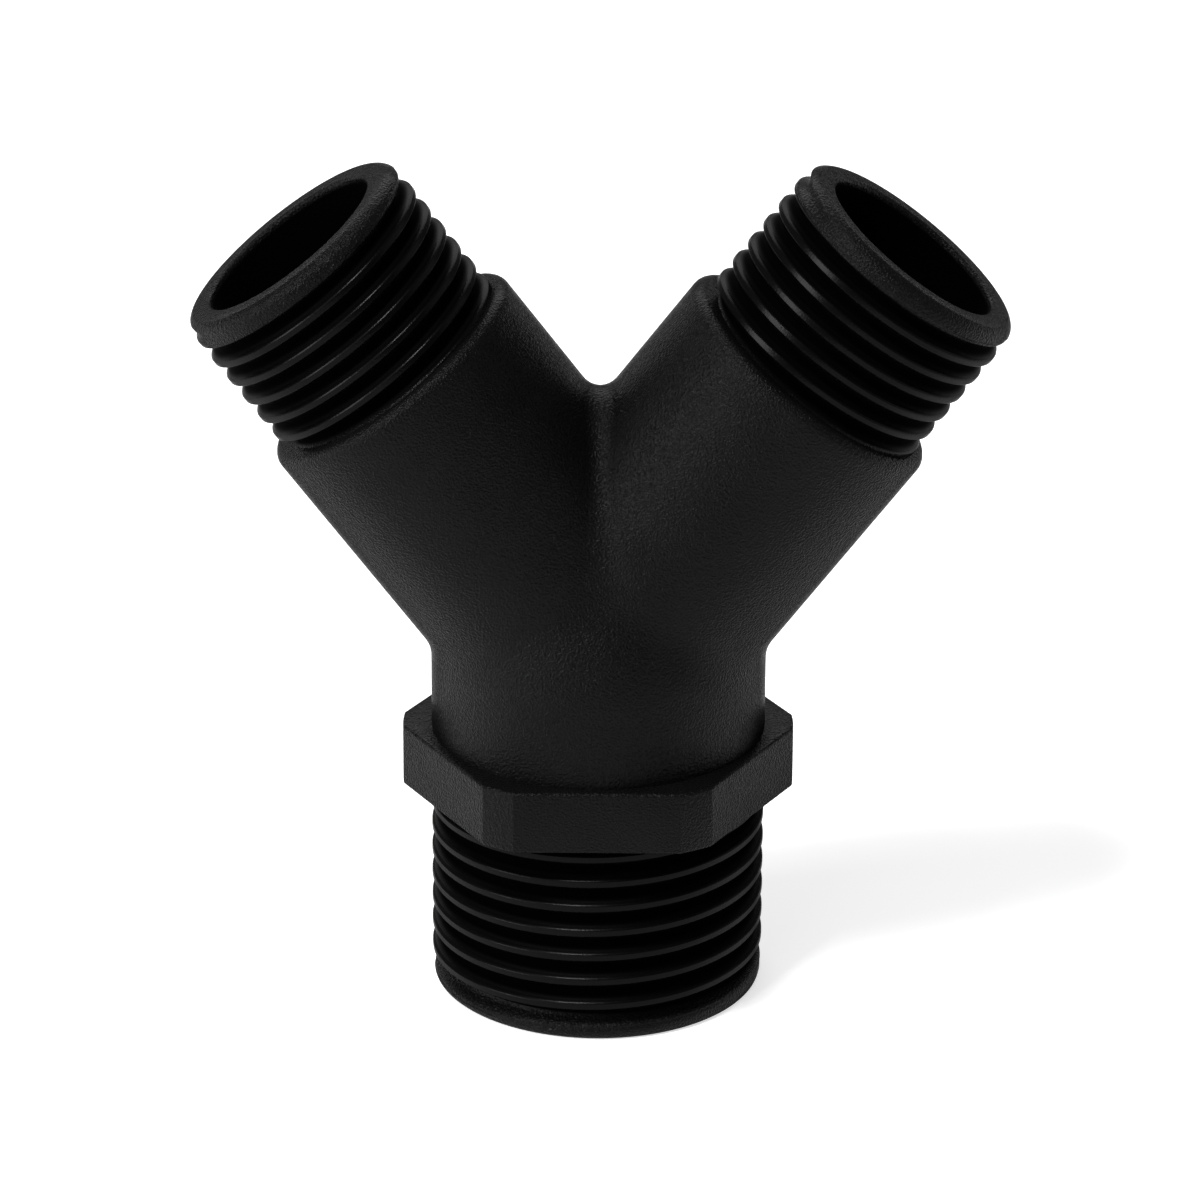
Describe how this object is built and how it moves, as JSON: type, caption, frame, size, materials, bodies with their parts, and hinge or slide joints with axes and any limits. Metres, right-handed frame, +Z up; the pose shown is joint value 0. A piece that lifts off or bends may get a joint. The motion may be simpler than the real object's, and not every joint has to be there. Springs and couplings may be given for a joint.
{
  "type": "tubing y connector",
  "caption": "Moulded Y connector that joins one large male-threaded hose end to two smaller male-threaded ends, with a hexagonal collar on the trunk.",
  "frame": {"origin": "centre of the trunk's open end, on the plane that the connector stands on", "axes": "+Z up the trunk's axis, +X towards the right arm with both arms in the X-Z plane, +Y away from the flat of the collar that faces front"},
  "size_m": [0.0642, 0.0284, 0.0683],
  "materials": {
    "black_plastic": "fine-grained matte black moulded plastic"
  },
  "bodies": {
    "root": {"connector_body": "black_plastic"}
  },
  "joints": []
}
